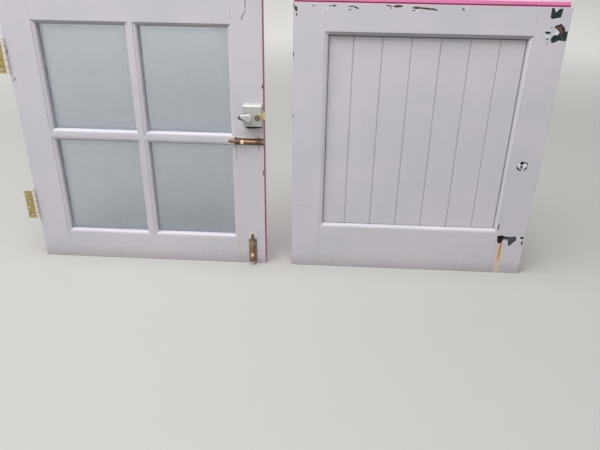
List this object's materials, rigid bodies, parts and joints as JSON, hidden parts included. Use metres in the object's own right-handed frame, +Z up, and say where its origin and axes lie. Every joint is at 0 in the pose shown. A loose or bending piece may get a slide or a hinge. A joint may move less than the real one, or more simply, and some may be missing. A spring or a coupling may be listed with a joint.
{
  "type": "dutch stable door",
  "caption": "Painted two-leaf stable door out of its frame: half-glazed upper leaf with hinges, night latch and barrel bolts, and a boarded lower leaf beside it.",
  "frame": {"origin": "middle of the lower leaf's bottom edge", "axes": "+X from the leaves' hinge side to their lock side, +Y from the inside face to the outside face, +Z up"},
  "size_m": [1.6445, 0.1005, 0.87],
  "materials": {
    "upper_frame_paint": "pale grey-lilac gloss paint",
    "glazing_bar_paint": "pale grey-lilac gloss paint",
    "lower_frame_paint": "pale grey-lilac gloss paint",
    "board_paint": "pale grey-lilac gloss paint",
    "bead_paint": "pink gloss paint",
    "pane_glass": "clear, dirty",
    "hinge_painted_brass": "brass, knuckles painted over",
    "hinge_brass": "dull brass",
    "hinge_pin_brass": "dull brass",
    "screw_brass": "tarnished brass",
    "screw_steel": "zinc plated",
    "latch_enamel": "pale sage enamel",
    "latch_plate_steel": "zinc plated",
    "latch_bolt_brass": "dull brass",
    "latch_knob_bronze": "pale sage enamel",
    "snib_bronze": "dark bronze",
    "cylinder_brass": "dull brass",
    "key_plug_brass": "dull brass",
    "bolt_plate_brass": "dark tarnished brass",
    "bolt_rod_brass": "tarnished brass"
  },
  "bodies": {
    "door_leaves": {"upper_hinge_stile": "upper_frame_paint", "upper_lock_stile": "upper_frame_paint", "upper_top_rail": "upper_frame_paint", "upper_bottom_rail": "upper_frame_paint", "upright_glazing_bar": "glazing_bar_paint", "cross_glazing_bar": "glazing_bar_paint", "pane_bottom_left": "pane_glass", "pane_bottom_right": "pane_glass", "pane_top_left": "pane_glass", "pane_top_right": "pane_glass", "glazing_beads_bottom_left": "bead_paint", "glazing_beads_bottom_right": "bead_paint", "glazing_beads_top_left": "bead_paint", "glazing_beads_top_right": "bead_paint", "lower_hinge_stile": "lower_frame_paint", "lower_lock_stile": "lower_frame_paint", "lower_top_rail": "lower_frame_paint", "lower_bottom_rail": "lower_frame_paint", "board_1": "board_paint", "board_2": "board_paint", "board_3": "board_paint", "board_4": "board_paint", "board_5": "board_paint", "board_6": "board_paint", "board_7": "board_paint", "panel_beads": "bead_paint", "bottom_hinge_fixed_flap": "hinge_painted_brass", "bottom_hinge_pin": "hinge_pin_brass", "bottom_hinge_screws": "screw_brass", "top_hinge_fixed_flap": "hinge_painted_brass", "top_hinge_pin": "hinge_pin_brass", "top_hinge_screws": "screw_brass", "latch_case": "latch_enamel", "latch_back_plate": "latch_plate_steel", "latch_back_screws": "screw_steel", "latch_fixing_screws": "screw_steel", "cylinder_ring": "cylinder_brass", "rim_cylinder": "cylinder_brass", "cross_bolt_plate": "bolt_plate_brass", "cross_bolt_screws": "screw_brass", "drop_bolt_plate": "bolt_plate_brass", "drop_bolt_screws": "screw_brass"},
    "bottom_hinge_flap": {"bottom_hinge_free_flap": "hinge_brass"},
    "top_hinge_flap": {"top_hinge_free_flap": "hinge_brass"},
    "latch_bolt": {"latch_bolt": "latch_bolt_brass"},
    "latch_knob": {"latch_knob": "latch_knob_bronze"},
    "latch_snib": {"latch_snib": "snib_bronze"},
    "key_plug": {"key_plug": "key_plug_brass"},
    "cross_bolt_rod": {"cross_bolt_rod": "bolt_rod_brass"},
    "drop_bolt_rod": {"drop_bolt_rod": "bolt_rod_brass"}
  },
  "joints": [
    {"name": "bottom_hinge_swing", "type": "hinge", "parent": "door_leaves", "child": "bottom_hinge_flap", "pos_m": [-1.2325, -0.028, 0.195], "axis": [0, 0, 1], "range_deg": [-90, 165]},
    {"name": "top_hinge_swing", "type": "hinge", "parent": "door_leaves", "child": "top_hinge_flap", "pos_m": [-1.2325, -0.028, 0.675], "axis": [0, 0, 1], "range_deg": [-90, 165]},
    {"name": "knob_turn", "type": "hinge", "parent": "door_leaves", "child": "latch_knob", "pos_m": [-0.509, -0.052, 0.52], "axis": [0, 1, 0], "range_deg": [0, 60]},
    {"name": "latch_bolt_slide", "type": "slide", "parent": "door_leaves", "child": "latch_bolt", "axis": [-1, 0, 0], "range_m": [0, 0.01], "stiffness_N_per_m": 200, "springref_m": -0.01},
    {"name": "snib_slide", "type": "slide", "parent": "door_leaves", "child": "latch_snib", "axis": [0, 0, 1], "range_m": [0, 0.006]},
    {"name": "plug_turn", "type": "hinge", "parent": "door_leaves", "child": "key_plug", "pos_m": [-0.509, 0.022, 0.52], "axis": [0, 1, 0], "range_deg": [-90, 90]},
    {"name": "cross_bolt_slide", "type": "slide", "parent": "door_leaves", "child": "cross_bolt_rod", "axis": [1, 0, 0], "range_m": [0, 0.02]},
    {"name": "drop_bolt_slide", "type": "slide", "parent": "door_leaves", "child": "drop_bolt_rod", "axis": [0, 0, -1], "range_m": [0, 0.014]}
  ],
  "couplings": [
    {"joint": "knob_turn", "follows": "latch_bolt_slide", "rad_per_m": 104}
  ]
}
